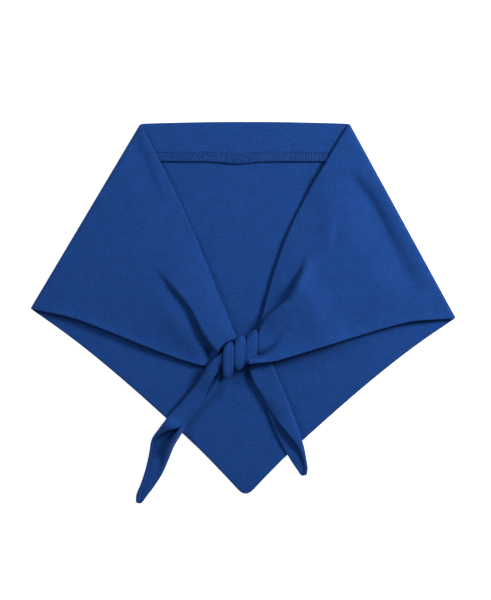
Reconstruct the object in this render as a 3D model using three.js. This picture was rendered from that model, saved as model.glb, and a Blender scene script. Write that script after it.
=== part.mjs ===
import * as THREE from 'three';

// A neckerchief: one triangle of double-knit cloth with a turned hem along its long edge,
// lying flat on its back, folded over at both sides and tied in front by its two points.
// Lengths are in millimetres, angles in degrees. +X is the wearer's left seen from the front,
// +Y runs from the lower point to the neck edge and +Z points up from the surface.

// The cloth and the room between its layers.
const wall = 1.4;
const clearance = 0.3;
const hemPitch = 1.8;
const pleatPitch = 2;
const sideFoldPitch = 5.4;
const cornerFoldPitch = 4;

// The outline as it lies.
const neckWidth = 167;
const neckCrown = 1.4;
const backLength = 300;
const pointAside = 0.5;
const pointRound = 9;
const leftSpread = 171;
const leftDrop = 148.5;
const rightSpread = 168;
const rightDrop = 156;
const legHollow = 6;

// The hem, the pleats and the bulge of the front.
const hemDepth = 31.5;
const hemSag = 1.8;
const hemReach = 0.88;
const pleatDepth = 9;
const leastTurn = 0.01;
const wingPuff = 4;
const foldGroove = 1.6;

// The knot: its middle, its turns and the cloth that runs through them.
const knotAside = -4;
const knotDrop = 184.5;
const turnPitch = 9.25;
const turnGap = 0.45;
const turnThickness = 4.5;
const turnLength = 27;
const coreThickness = 5.5;
const coreWidth = 9;

// The two ends, from where they leave the knot to their tips.
const leftTailLength = 131.8;
const leftTailAngle = 239.5;
const rightTailLength = 108.5;
const rightTailAngle = 292.8;
const tailWidth = 18;
const tailPitch = 2;
const dropRun = 21;
const restGap = 0.05;

// How finely the forms are divided.
const roundSteps = 5;
const turnSteps = 20;
const bandSides = 10;
const edgeSteps = 8;

// Heights of the layers, each at the middle of its cloth.
const backLevel = wall / 2;
const neckHemLevel = backLevel + hemPitch;
const turnBottom = wall + clearance;
const coreBottom = turnBottom + turnThickness + clearance;
const knotMiddle = coreBottom + coreThickness / 2;

// Depth of each lower edge's hollow along its length, as shares of its length and of legHollow.
const legRows = [
  { along: 0, hollow: 0 },
  { along: 0.12, hollow: 0.5 },
  { along: 0.25, hollow: 0.84 },
  { along: 0.42, hollow: 1 },
  { along: 0.6, hollow: 0.95 },
  { along: 0.76, hollow: 0.78 },
  { along: 0.88, hollow: 0.45 },
  { along: 1, hollow: 0 },
];

// The turns of the knot from left to right: the place of each one's middle as shares of
// turnPitch across and up, and its length as a share of turnLength.
const turnRows = [
  { across: -1, up: -0.65, length: 1.06 },
  { across: 0, up: 0, length: 1 },
  { across: 1, up: 0.49, length: 0.97 },
];

// Sections of the wings from the side fold to the knot. neckBow and lowBow bend the two edges
// inwards, as shares of their lengths. level runs from the fold's height to the knot's, puff is
// a share of wingPuff, groove of foldGroove and hollow of turnLength. line places the pleat as a
// share of the section, turn is the share of a half turn that its folds make, overlap is a share
// of pleatDepth and hem is a share of hemDepth.
const leftWingRows = [
  { along: 0, neckBow: 0, lowBow: 0, level: 0, puff: 0, groove: 0, hollow: 0, line: 0.42, turn: 0, overlap: 0, hem: 1 },
  { along: 0.06, neckBow: 0.004, lowBow: 0.008, level: 0, puff: 0.12, groove: 0, hollow: 0, line: 0.42, turn: 0, overlap: 0, hem: 1 },
  { along: 0.2, neckBow: 0.01, lowBow: 0.021, level: 0, puff: 0.42, groove: 0, hollow: 0, line: 0.42, turn: 0, overlap: 0, hem: 1 },
  { along: 0.35, neckBow: 0.016, lowBow: 0.015, level: 0.05, puff: 0.75, groove: 0, hollow: 0, line: 0.42, turn: 0, overlap: 0, hem: 1 },
  { along: 0.48, neckBow: 0.016, lowBow: 0.006, level: 0.12, puff: 0.95, groove: 0, hollow: 0, line: 0.42, turn: 0.12, overlap: 0, hem: 1 },
  { along: 0.6, neckBow: 0.012, lowBow: -0.003, level: 0.24, puff: 1, groove: 0, hollow: 0, line: 0.42, turn: 0.6, overlap: 0, hem: 0.95 },
  { along: 0.72, neckBow: 0.008, lowBow: -0.009, level: 0.42, puff: 0.95, groove: 0, hollow: 0.02, line: 0.43, turn: 1, overlap: 0.05, hem: 0.85 },
  { along: 0.85, neckBow: 0.004, lowBow: -0.011, level: 0.7, puff: 0.6, groove: 0, hollow: 0.1, line: 0.52, turn: 1, overlap: 0.5, hem: 0.6 },
  { along: 1, neckBow: 0, lowBow: 0, level: 1, puff: 0, groove: 0, hollow: 0.28, line: 0.62, turn: 1, overlap: 0.9, hem: 0.18 },
];
const rightWingRows = [
  { along: 0, neckBow: 0, lowBow: 0, level: 0, puff: 0, groove: 0, hollow: 0, line: 0.3, turn: 0, overlap: 0, hem: 1 },
  { along: 0.06, neckBow: 0.01, lowBow: 0.012, level: 0, puff: 0.2, groove: 0.1, hollow: 0, line: 0.3, turn: 0, overlap: 0, hem: 1 },
  { along: 0.2, neckBow: 0.028, lowBow: 0.034, level: 0, puff: 0.5, groove: 1, hollow: 0, line: 0.3, turn: 0, overlap: 0, hem: 1 },
  { along: 0.35, neckBow: 0.046, lowBow: 0.033, level: 0.1, puff: 0.8, groove: 0.15, hollow: 0, line: 0.3, turn: 0, overlap: 0, hem: 1 },
  { along: 0.5, neckBow: 0.054, lowBow: 0.026, level: 0.25, puff: 0.95, groove: 0, hollow: 0, line: 0.29, turn: 0.05, overlap: 0, hem: 0.9 },
  { along: 0.6, neckBow: 0.053, lowBow: 0.02, level: 0.4, puff: 0.95, groove: 0, hollow: 0, line: 0.3, turn: 0.45, overlap: 0, hem: 0.75 },
  { along: 0.72, neckBow: 0.043, lowBow: 0.012, level: 0.6, puff: 0.75, groove: 0, hollow: 0, line: 0.33, turn: 0.95, overlap: 0.05, hem: 0.6 },
  { along: 0.82, neckBow: 0.029, lowBow: 0.006, level: 0.78, puff: 0.5, groove: 0, hollow: 0, line: 0.28, turn: 1, overlap: 0.4, hem: 0.5 },
  { along: 0.91, neckBow: 0.014, lowBow: 0.002, level: 0.92, puff: 0.22, groove: 0, hollow: 0, line: 0.16, turn: 1, overlap: 0.8, hem: 0.36 },
  { along: 1, neckBow: 0, lowBow: 0, level: 1, puff: 0, groove: 0, hollow: 0, line: 0.1, turn: 1, overlap: 0.9, hem: 0.25 },
];

// Sections of the ends, from the knot to the tip. along and aside are shares of the length,
// width is a share of tailWidth, front is the share of the section that the upper layer covers,
// pitch is a share of tailPitch and sink runs from the knot's height, 0, to the back's, 1.
const leftTailRows = [
  { along: 0, aside: 0, width: 0.66, angle: -90, front: 0.9, pitch: 2, sink: 0 },
  { along: 0.08, aside: -0.01, width: 0.79, angle: -54, front: 0.8, pitch: 1.5, sink: 0.12 },
  { along: 0.144, aside: -0.002, width: 0.84, angle: -41, front: 0.74, pitch: 1.2, sink: 0.42 },
  { along: 0.2, aside: -0.006, width: 0.84, angle: -38, front: 0.74, pitch: 1.05, sink: 0.72 },
  { along: 0.264, aside: -0.014, width: 0.84, angle: -37, front: 0.78, pitch: 1, sink: 0.93 },
  { along: 0.354, aside: -0.031, width: 0.82, angle: -33, front: 0.9, pitch: 1, sink: 0.96 },
  { along: 0.448, aside: -0.05, width: 0.88, angle: -24, front: 0.94, pitch: 1.3, sink: 0.96 },
  { along: 0.492, aside: -0.053, width: 0.93, angle: -20, front: 0.66, pitch: 1.7, sink: 0.96 },
  { along: 0.542, aside: -0.056, width: 0.98, angle: -18, front: 0.24, pitch: 1.7, sink: 0.98 },
  { along: 0.616, aside: -0.058, width: 1.01, angle: -18, front: 0.19, pitch: 1.3, sink: 1 },
  { along: 0.699, aside: -0.037, width: 0.88, angle: -16, front: 0.19, pitch: 1.05, sink: 1 },
  { along: 0.795, aside: -0.017, width: 0.74, angle: -15, front: 0.22, pitch: 1, sink: 1 },
  { along: 0.886, aside: -0.009, width: 0.56, angle: -14, front: 0.3, pitch: 1, sink: 1 },
  { along: 0.958, aside: -0.008, width: 0.42, angle: -12, front: 0.4, pitch: 1, sink: 1 },
  { along: 1, aside: 0, width: 0.24, angle: -12, front: 0.7, pitch: 1, sink: 1 },
];
const rightTailRows = [
  { along: 0.075, aside: 0.05, width: 0.7, angle: -137, front: 0.9, pitch: 1, sink: 1 },
  { along: 0.125, aside: 0.018, width: 1.04, angle: -168, front: 0.96, pitch: 1, sink: 1 },
  { along: 0.237, aside: 0.012, width: 1.08, angle: -169, front: 0.96, pitch: 1, sink: 1 },
  { along: 0.365, aside: 0.023, width: 0.95, angle: -165, front: 0.97, pitch: 1, sink: 1 },
  { along: 0.48, aside: 0.02, width: 0.97, angle: -167, front: 0.88, pitch: 1.1, sink: 1 },
  { along: 0.598, aside: 0.015, width: 0.99, angle: -166, front: 0.66, pitch: 1.2, sink: 0.98 },
  { along: 0.725, aside: 0.012, width: 0.91, angle: -168, front: 0.38, pitch: 1.2, sink: 0.96 },
  { along: 0.805, aside: 0.012, width: 0.8, angle: -167, front: 0.24, pitch: 1, sink: 1 },
  { along: 0.888, aside: 0.009, width: 0.62, angle: -167, front: 0.27, pitch: 1, sink: 1 },
  { along: 0.961, aside: 0.008, width: 0.42, angle: -168, front: 0.36, pitch: 1, sink: 1 },
  { along: 1, aside: 0, width: 0.24, angle: -170, front: 0.7, pitch: 1, sink: 1 },
];

const degrees = Math.PI / 180;
const flat = (x, y) => new THREE.Vector2(x, y);
const lerp = THREE.MathUtils.lerp;

// Steps from 0 to 1, both included.
const steps = (count) => Array.from({ length: count + 1 }, (_, step) => step / count);

// A table's column at a place between its rows, on a smooth curve through them.
function read(rows, column, along) {
  const last = rows.length - 1;
  let row = rows.findIndex((entry) => entry.along > along) - 1;
  if (row < 0) row = along < rows[0].along ? 0 : last - 1;
  const slope = (index) => {
    const before = rows[Math.max(index - 1, 0)];
    const after = rows[Math.min(index + 1, last)];
    return (after[column] - before[column]) / (after.along - before.along);
  };
  const [from, to] = [rows[row], rows[row + 1]];
  const span = to.along - from.along;
  const t = THREE.MathUtils.clamp((along - from.along) / span, 0, 1);
  const bend = (to[column] - from[column]) * t * t * (3 - 2 * t);
  const leave = slope(row) * span * t * (1 - t) ** 2;
  const arrive = slope(row + 1) * span * t * t * (1 - t);
  return from[column] + bend + leave - arrive;
}

// A closed body from a grid of outer points: rows of equal length on the upper and lower side.
function closeGrid(upper, lower) {
  const rowCount = upper.length;
  const rowLength = upper[0].length;
  const positions = [...upper.flat(), ...lower.flat()].flatMap((point) => point.toArray());
  const offset = rowCount * rowLength;
  const indices = [];
  const quad = (a, b, c, d) => indices.push(a, b, c, a, c, d);
  const at = (row, column) => row * rowLength + column;
  for (let row = 0; row < rowCount - 1; row++) {
    for (let column = 0; column < rowLength - 1; column++) {
      const corners = [at(row, column), at(row + 1, column), at(row + 1, column + 1), at(row, column + 1)];
      quad(...corners);
      quad(...corners.reverse().map((index) => index + offset));
    }
  }
  for (let row = 0; row < rowCount - 1; row++) {
    const [near, far] = [[at(row, 0), at(row + 1, 0)], [at(row, rowLength - 1), at(row + 1, rowLength - 1)]];
    quad(near[1], near[0], near[0] + offset, near[1] + offset);
    quad(far[0], far[1], far[1] + offset, far[0] + offset);
  }
  for (let column = 0; column < rowLength - 1; column++) {
    const last = rowCount - 1;
    quad(at(0, column), at(0, column + 1), at(0, column + 1) + offset, at(0, column) + offset);
    quad(at(last, column + 1), at(last, column), at(last, column) + offset, at(last, column + 1) + offset);
  }
  return outward(positions, indices);
}

// An indexed body whose faces all point out.
function outward(positions, indices) {
  const corner = (index) => new THREE.Vector3().fromArray(positions, index * 3);
  let volume = 0;
  for (let face = 0; face < indices.length; face += 3) {
    const [a, b, c] = [corner(indices[face]), corner(indices[face + 1]), corner(indices[face + 2])];
    volume += a.dot(b.cross(c));
  }
  const geometry = new THREE.BufferGeometry();
  geometry.setAttribute('position', new THREE.Float32BufferAttribute(positions, 3));
  geometry.setIndex(volume < 0 ? [...indices].reverse() : indices);
  geometry.computeVertexNormals();
  return geometry;
}

// Cloth of the wall's thickness on both sides of a grid of points at its middle.
function cloth(grid) {
  const side = (sign) => grid.map((line, row) => line.map((spot, column) => {
    const down = direction(grid.map((other) => other[column]), row);
    const across = direction(line, column);
    const normal = down.cross(across).normalize();
    return spot.clone().addScaledVector(normal, sign * wall / 2);
  }));
  return closeGrid(side(1), side(-1));
}

// The direction of a row of points at one of them, on a curve through it and its neighbours.
function direction(line, index) {
  const last = line.length - 1;
  if (index > 0 && index < last) return line[index + 1].clone().sub(line[index - 1]);
  const [end, next, third] = index === 0 ? line : [line[last], line[last - 1], line[last - 2]];
  const leave = next.clone().multiplyScalar(4).addScaledVector(end, -3).sub(third);
  return index === 0 ? leave : leave.negate();
}

// The corners and edges that the pieces share.
const point = flat(pointAside, -backLength);
const neckEdge = (x) => -neckCrown * (2 * x / neckWidth) ** 2;
const knot = flat(knotAside, -knotDrop);
const hemRound = (hemPitch + wall) / 2;

// A side of the neckerchief: its fold, its wing's edges and its height there.
function makeSide(sign, spread, drop, neckEnd, lowEnd, knotLevel, rows, stripOnTop) {
  const top = flat(sign * neckWidth / 2, neckEdge(neckWidth / 2));
  const corner = flat(sign * spread, -drop);
  const along = corner.clone().sub(top).normalize();
  const out = flat(-along.y, along.x).multiplyScalar(-sign);
  if (out.x * sign < 0) out.negate();
  const foldPitch = (share) => lerp(sideFoldPitch, cornerFoldPitch, share);
  const foldLine = (share, inset) => top.clone().lerp(corner, share)
    .addScaledVector(out, -(foldPitch(share) + wall) / 2 - inset);
  const foldAt = (y, inset) => {
    const [from, to] = [foldLine(0, inset), foldLine(1, inset)];
    return from.lerp(to, Math.max((from.y - y) / (from.y - to.y), 0));
  };
  const bent = (from, to, column, turn) => (place) => {
    const chord = to.clone().sub(from);
    const inward = flat(-chord.y, chord.x).multiplyScalar(turn * read(rows, column, place));
    return from.clone().addScaledVector(chord, place).add(inward);
  };
  const neckLine = bent(foldLine(0, 0), neckEnd, 'neckBow', sign > 0 ? -1 : 1);
  const lowLine = bent(foldLine(1, 0), lowEnd, 'lowBow', sign > 0 ? -1 : 1);
  const width = (place) => neckLine(place).distanceTo(lowLine(place));

  // The middle of the wing's cloth at a place between fold and knot, a length in from the
  // neck side's edge and a height over the lowest layer.
  function surface(place, across, lift) {
    const [from, to] = [neckLine(place), lowLine(place)];
    const share = across / from.distanceTo(to);
    const bulge = Math.sin(Math.PI * THREE.MathUtils.clamp(share, 0, 1));
    const spot = from.clone().lerp(to, share);
    const back = flat(to.y - from.y, from.x - to.x).normalize().multiplyScalar(-sign);
    spot.addScaledVector(back, turnLength * read(rows, 'hollow', place) * bulge);
    const foldLevel = backLevel + foldPitch(share);
    const height = lerp(foldLevel, knotLevel, read(rows, 'level', place))
      + wingPuff * read(rows, 'puff', place) * (0.75 + 0.25 * bulge)
      - foldGroove * read(rows, 'groove', place) * bulge;
    return new THREE.Vector3(spot.x, spot.y, height + lift);
  }

  // The pleat at a place: two bends of the same angle, with a straight layer between them.
  function pleat(place) {
    const angle = Math.PI * THREE.MathUtils.clamp(read(rows, 'turn', place), leastTurn, 1);
    const radius = pleatPitch / 2 * Math.PI / angle;
    const middle = clearance + pleatDepth * Math.max(read(rows, 'overlap', place), 0);
    const lift = 2 * radius * (1 - Math.cos(angle)) + middle * Math.sin(angle);
    const line = width(place) * read(rows, 'line', place);
    const half = pleatPitch / 2;
    const start = stripOnTop ? line - half : line + (middle + half) * (1 - Math.cos(angle)) / 2;
    return { angle, radius, middle, lift, start };
  }

  const stripLift = (place) => (stripOnTop ? pleat(place).lift : 0);

  // One section of the wing, as lengths in from the edge and heights.
  function section(place) {
    const { angle, radius, middle, lift, start } = pleat(place);
    const edge = hemRound + 1.5 * clearance;
    const line = steps(edgeSteps / 2).slice(0, -1).map((t) => [lerp(edge, start, t), 0]);
    const first = steps(roundSteps).map((t) => [
      start + radius * Math.sin(angle * t),
      radius * (1 - Math.cos(angle * t)),
    ]);
    const [turnAcross, turnLift] = first.at(-1);
    const second = steps(roundSteps).map((t) => [
      turnAcross + middle * Math.cos(angle) + radius * (Math.sin(angle) - Math.sin(angle * (1 - t))),
      turnLift + middle * Math.sin(angle) + radius * (Math.cos(angle * (1 - t)) - Math.cos(angle)),
    ]);
    const end = second.at(-1)[0];
    const rest = steps(edgeSteps).slice(1).map((t) => [lerp(end, width(place), t), lift]);
    return [...line, ...first, ...second, ...rest]
      .map(([across, rise]) => [across, stripOnTop ? lift - rise : rise]);
  }

  return { sign, out, foldPitch, foldLine, foldAt, width, surface, section, stripLift, rows };
}

const turnPlace = (row) => knot.clone().add(flat(row.across, row.up).multiplyScalar(turnPitch));
const [firstTurn, , lastTurn] = turnRows.map(turnPlace);
const leftNeckEnd = knot.clone().add(flat(-0.4 * turnPitch, turnLength / 2 + wall + 2 * clearance));
const leftLowEnd = firstTurn.clone().add(flat(-turnPitch / 2 - 3, -turnLength / 4));
const rightNeckEnd = lastTurn.clone().add(flat(turnPitch / 2 + wall / 2, turnLength * 0.45));
const rightLowEnd = lastTurn.clone().add(flat(turnPitch / 2 + wall / 2, -turnLength * 0.52));
const leftKnotLevel = turnBottom + wall / 2 + clearance;
const rightKnotLevel = coreBottom + wall / 2;
const left = makeSide(-1, leftSpread, leftDrop, leftNeckEnd, leftLowEnd, leftKnotLevel, leftWingRows, true);
const right = makeSide(1, rightSpread, rightDrop, rightNeckEnd, rightLowEnd, rightKnotLevel, rightWingRows, false);

// A lower edge of the back, from a side fold's corner to where the point's rounding begins.
function lowerEdge(side) {
  const start = side.foldLine(1, clearance);
  const chord = point.clone().sub(start);
  const inward = flat(-chord.y, chord.x).normalize().multiplyScalar(-side.sign * legHollow);
  if (inward.y < 0) inward.negate();
  const round = 1 - pointRound / chord.length();
  return steps(edgeSteps).map((t) => {
    const along = t * round;
    return start.clone().addScaledVector(chord, along).addScaledVector(inward, read(legRows, 'hollow', along));
  });
}

// The back between the side folds, with its two hollow lower edges and its rounded point.
function backPanel() {
  const outline = new THREE.Shape();
  const top = -hemRound - clearance;
  const topCorner = (side) => side.foldAt(top + neckEdge(neckWidth / 2), clearance);
  const [topLeft, topRight] = [topCorner(left), topCorner(right)];
  outline.moveTo(topLeft.x, topLeft.y);
  const [leftLeg, rightLeg] = [lowerEdge(left), lowerEdge(right)];
  leftLeg.forEach((spot) => outline.lineTo(spot.x, spot.y));
  outline.quadraticCurveTo(point.x, point.y, rightLeg.at(-1).x, rightLeg.at(-1).y);
  rightLeg.reverse().slice(1).forEach((spot) => outline.lineTo(spot.x, spot.y));
  outline.lineTo(topRight.x, topRight.y);
  steps(edgeSteps).slice(1, -1).forEach((t) => {
    const x = lerp(topRight.x, topLeft.x, t);
    outline.lineTo(x, top + neckEdge(x));
  });
  return new THREE.ExtrudeGeometry(outline, { depth: wall, bevelEnabled: false, curveSegments: roundSteps });
}

// The hem turned to the front along the neck edge, from under one wing to under the other.
function neckHem() {
  const lowest = -hemDepth;
  const profile = [
    ...steps(3).slice(0, -1).map((t) => [lerp(lowest, -hemRound, t), neckHemLevel]),
    ...steps(roundSteps).map((t) => {
      const angle = (90 - 180 * t) * degrees;
      const middle = (backLevel + neckHemLevel) / 2;
      return [-hemRound + hemPitch / 2 * Math.cos(angle), middle + hemPitch / 2 * Math.sin(angle)];
    }),
  ];
  const edgeAt = (side, y) => side.foldAt(y + neckEdge(neckWidth / 2), clearance).x;
  return cloth(steps(2 * edgeSteps).map((t) => profile.map(([y, z]) => {
    const x = lerp(edgeAt(left, y), edgeAt(right, y), t);
    const sag = hemSag * Math.sin(Math.PI * t) ** 2 * (y / lowest) ** 2;
    return new THREE.Vector3(x, y + neckEdge(x) - sag, z);
  })));
}

// A front part: round its side fold and over to the knot, with its pleat.
function wing(side) {
  const start = side.section(0);
  const fold = steps(roundSteps).slice(0, -1).map((t) => {
    const angle = (180 * t - 90) * degrees;
    return start.map(([across]) => {
      const share = across / side.width(0);
      const radius = side.foldPitch(share) / 2;
      const spot = side.foldLine(share, 0).addScaledVector(side.out, radius * Math.cos(angle));
      return new THREE.Vector3(spot.x, spot.y, backLevel + radius + radius * Math.sin(angle));
    });
  });
  const front = steps(2 * edgeSteps).map((place) => side.section(place)
    .map(([across, lift]) => side.surface(place, across, lift)));
  return cloth([...fold, ...front]);
}

// The hem turned under along a wing's neck side, with its round edge.
function wingHem(side) {
  return cloth(steps(2 * edgeSteps).map((t) => {
    const place = hemReach * t;
    const depth = Math.max(hemDepth * read(side.rows, 'hem', place), 2 * hemRound);
    const under = side.stripLift(place) - hemPitch;
    const flatPart = steps(3).slice(0, -1).map((share) => [lerp(depth, hemRound, share), under]);
    const round = steps(roundSteps).map((share) => {
      const angle = (180 * share - 90) * degrees;
      return [hemRound - hemPitch / 2 * Math.cos(angle), under + hemPitch / 2 * (1 + Math.sin(angle))];
    });
    return [...flatPart, ...round].map(([across, lift]) => side.surface(place, across, lift));
  }));
}

// The cloth wound round the knot: one band in a coil, broad in front and drawn in behind.
function knotWraps() {
  const startAngle = -60;
  const endAngle = 360 * (turnRows.length - 1) + 240;
  const place = (turn) => {
    const row = THREE.MathUtils.clamp(Math.floor(turn), 0, turnRows.length - 2);
    const mix = (column) => lerp(turnRows[row][column], turnRows[row + 1][column], turn - row);
    return { across: mix('across'), up: mix('up'), length: mix('length') };
  };
  const path = (angle) => {
    const turns = Math.floor(angle / 360);
    const phase = (angle - 360 * turns) * degrees;
    const behind = Math.max(-Math.sin(phase), 0);
    const advance = phase > Math.PI ? (1 + Math.cos(phase)) / 2 : 0;
    const row = place(turns + advance);
    const soft = (value) => Math.sign(value) * Math.abs(value) ** 0.85;
    const reach = (turnLength * row.length - turnThickness) / 2;
    const height = (coreThickness + turnThickness) / 2 + clearance;
    const middle = turnPlace(row);
    const spot = new THREE.Vector3(middle.x, middle.y + reach * soft(Math.cos(phase)), knotMiddle + height * soft(Math.sin(phase)));
    return { spot, width: (turnPitch - turnGap) * (1 - 0.42 * behind) };
  };
  const count = Math.round(turnSteps * (endAngle - startAngle) / 360);
  const rings = steps(count).map((t) => {
    const angle = lerp(startAngle, endAngle, t);
    const { spot, width } = path(angle);
    const ahead = path(angle + 1).spot.sub(path(angle - 1).spot);
    const radial = new THREE.Vector3(0, ahead.z, -ahead.y).normalize();
    return steps(bandSides).slice(0, -1).map((share) => {
      const turn = 2 * Math.PI * share;
      const soft = (value) => Math.sign(value) * Math.abs(value) ** 0.7;
      return spot.clone().addScaledVector(radial, turnThickness / 2 * soft(Math.sin(turn)))
        .add(new THREE.Vector3(width / 2 * soft(Math.cos(turn)), 0, 0));
    });
  });
  return closeTube(rings);
}

// A closed body from rings of equal length, with a flat end on the first and the last.
function closeTube(rings) {
  const sides = rings[0].length;
  const indices = [];
  for (let ring = 0; ring < rings.length - 1; ring++) {
    for (let side = 0; side < sides; side++) {
      const next = (side + 1) % sides;
      const [a, b] = [ring * sides + side, ring * sides + next];
      indices.push(a, b, b + sides, a, b + sides, a + sides);
    }
  }
  const last = (rings.length - 1) * sides;
  for (let side = 1; side < sides - 1; side++) {
    indices.push(0, side + 1, side, last, last + side, last + side + 1);
  }
  return outward(rings.flat().flatMap((spot) => spot.toArray()), indices);
}

// One section of an end of the cloth, folded double: the upper layer, the round fold and the
// lower layer, from the fold's side to the open side.
function foldedSection({ centre, angle, width, front, pitch, level }) {
  const radius = pitch / 2;
  const outer = radius + wall / 2;
  const toOpen = flat(Math.cos(angle * degrees), Math.sin(angle * degrees));
  const place = (across, height) => {
    const spot = centre.clone().addScaledVector(toOpen, across - width / 2);
    return new THREE.Vector3(spot.x, spot.y, level + height);
  };
  const upper = steps(4).slice(0, -1).map((t) => place(lerp(Math.max(width * front, outer + wall), outer, t), pitch));
  const round = steps(roundSteps).map((t) => {
    const turn = (90 + 180 * t) * degrees;
    return place(outer + radius * Math.cos(turn), radius + radius * Math.sin(turn));
  });
  const lower = steps(4).slice(1).map((t) => place(lerp(outer, Math.max(width, outer + wall), t), 0));
  return [...upper, ...round, ...lower];
}

// The height of an end's lower layer: in the knot, on the back or, past its edge, on the surface.
function levelAt(sink, drop) {
  const [inKnot, onBack, onSurface] = [coreBottom, wall + clearance, restGap].map((level) => level + wall / 2);
  return lerp(lerp(inKnot, onBack, Math.min(sink, 1)), onSurface, drop);
}

// Whether the back lies under a place.
function overBack(spot) {
  const edge = [...lowerEdge(left), ...lowerEdge(right).reverse()];
  const next = edge.findIndex((corner) => corner.x > spot.x);
  if (next < 1) return false;
  const [from, to] = [edge[next - 1], edge[next]];
  return spot.y > lerp(from.y, to.y, (spot.x - from.x) / (to.x - from.x));
}

// An end's sections from its table, on a straight line of the given length and direction. The
// end lies on the back up to the last section that still crosses the back's edge.
function tailSections(rows, start, length, turn, count) {
  const ahead = flat(Math.cos(turn * degrees), Math.sin(turn * degrees));
  const aside = flat(-ahead.y, ahead.x);
  const places = steps(count).map((t) => lerp(rows[0].along, rows.at(-1).along, t));
  const sectionAt = (along, drop) => foldedSection({
    centre: start.clone().addScaledVector(ahead, length * along)
      .addScaledVector(aside, length * read(rows, 'aside', along)),
    angle: read(rows, 'angle', along),
    width: tailWidth * read(rows, 'width', along),
    front: read(rows, 'front', along),
    pitch: tailPitch * read(rows, 'pitch', along),
    level: levelAt(read(rows, 'sink', along), drop),
  });
  const crossing = places.filter((along) => sectionAt(along, 0).some(overBack)).at(-1) ?? 0;
  return places.map((along) => {
    const drop = THREE.MathUtils.smoothstep((along - crossing) * length, wall, wall + dropRun);
    return sectionAt(along, drop);
  });
}

// The left end: it runs through the knot from the right wing and hangs out at the left.
function leftTail() {
  const pitch = coreThickness - wall - 2 * clearance;
  const exit = firstTurn.clone().add(flat(-turnPitch / 2 - clearance, 0));
  const entry = lastTurn.clone().add(flat(turnPitch / 2 - clearance, (lastTurn.y - knot.y) / 3));
  const core = steps(4).slice(0, -1).map((t) => foldedSection({
    centre: entry.clone().lerp(exit, t),
    angle: -90,
    width: coreWidth,
    front: 0.9,
    pitch,
    level: levelAt(0, 0) + clearance,
  }));
  const tail = tailSections(leftTailRows, exit, leftTailLength, leftTailAngle, 28);
  return cloth([...core, ...tail]);
}

// The right end: it leaves behind the knot and passes under the right wing's lower edge.
function rightTail() {
  const start = lastTurn.clone().add(flat(0, -2));
  return cloth(tailSections(rightTailRows, start, rightTailLength, rightTailAngle, 24));
}

// The named pieces with their colours.
const deepBlue = '#1e3e7f';
const wingBlue = '#20407f';
const brightBlue = '#254488';
const group = new THREE.Group();
const pieces = new THREE.Group();
function addPiece(name, geometry, color) {
  const mesh = new THREE.Mesh(geometry, new THREE.MeshStandardMaterial({ color, roughness: 0.9, metalness: 0 }));
  mesh.name = name;
  pieces.add(mesh);
}
addPiece('back_panel', backPanel(), deepBlue);
addPiece('neck_hem', neckHem(), brightBlue);
addPiece('left_wing', wing(left), wingBlue);
addPiece('right_wing', wing(right), brightBlue);
addPiece('left_hem', wingHem(left), wingBlue);
addPiece('right_hem', wingHem(right), brightBlue);
addPiece('knot_wraps', knotWraps(), brightBlue);
addPiece('left_tail', leftTail(), wingBlue);
addPiece('right_tail', rightTail(), wingBlue);

// The origin is on the surface, under the middle of the whole outline.
const bounds = new THREE.Box3().setFromObject(pieces, true);
const middle = bounds.getCenter(new THREE.Vector3());
pieces.position.set(-middle.x, -middle.y, -bounds.min.z);
group.add(pieces);

export default group;
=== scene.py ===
"""A knitted neckerchief that lies tied on a pale studio floor.

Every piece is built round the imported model, in metres, +Z up. The forms are worked out in
millimetres, in the frame whose origin is the middle of the neck edge, and moved into the model's
place at the end.
"""

import math

import bpy
import numpy as np
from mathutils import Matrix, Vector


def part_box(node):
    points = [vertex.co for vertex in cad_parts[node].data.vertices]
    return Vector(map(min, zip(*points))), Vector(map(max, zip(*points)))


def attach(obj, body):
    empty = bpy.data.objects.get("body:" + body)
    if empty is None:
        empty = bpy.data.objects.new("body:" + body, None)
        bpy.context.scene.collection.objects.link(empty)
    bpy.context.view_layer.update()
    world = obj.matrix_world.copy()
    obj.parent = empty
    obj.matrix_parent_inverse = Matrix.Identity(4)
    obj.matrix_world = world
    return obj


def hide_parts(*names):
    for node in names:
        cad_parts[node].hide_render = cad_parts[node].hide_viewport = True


bl_info = {
    "name": "Knitted neckerchief",
    "version": (1, 0, 0),
    "blender": (4, 5, 0),
    "location": "View3D > Sidebar > Neckerchief",
    "description": "Builds a tied knitted neckerchief with its hem, pleats, knot and ends",
    "category": "Object",
}

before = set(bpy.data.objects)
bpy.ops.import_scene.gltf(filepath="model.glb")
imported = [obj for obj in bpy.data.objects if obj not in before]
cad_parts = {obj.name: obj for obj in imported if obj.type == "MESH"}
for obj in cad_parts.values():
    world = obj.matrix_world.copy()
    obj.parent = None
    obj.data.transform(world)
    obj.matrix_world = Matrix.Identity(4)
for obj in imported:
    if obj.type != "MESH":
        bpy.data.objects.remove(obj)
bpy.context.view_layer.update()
BODY = "root"
CLOTH_NAME = "double_knit"
MM = 0.001
TINY = 1e-9
SEED = 7

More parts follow.
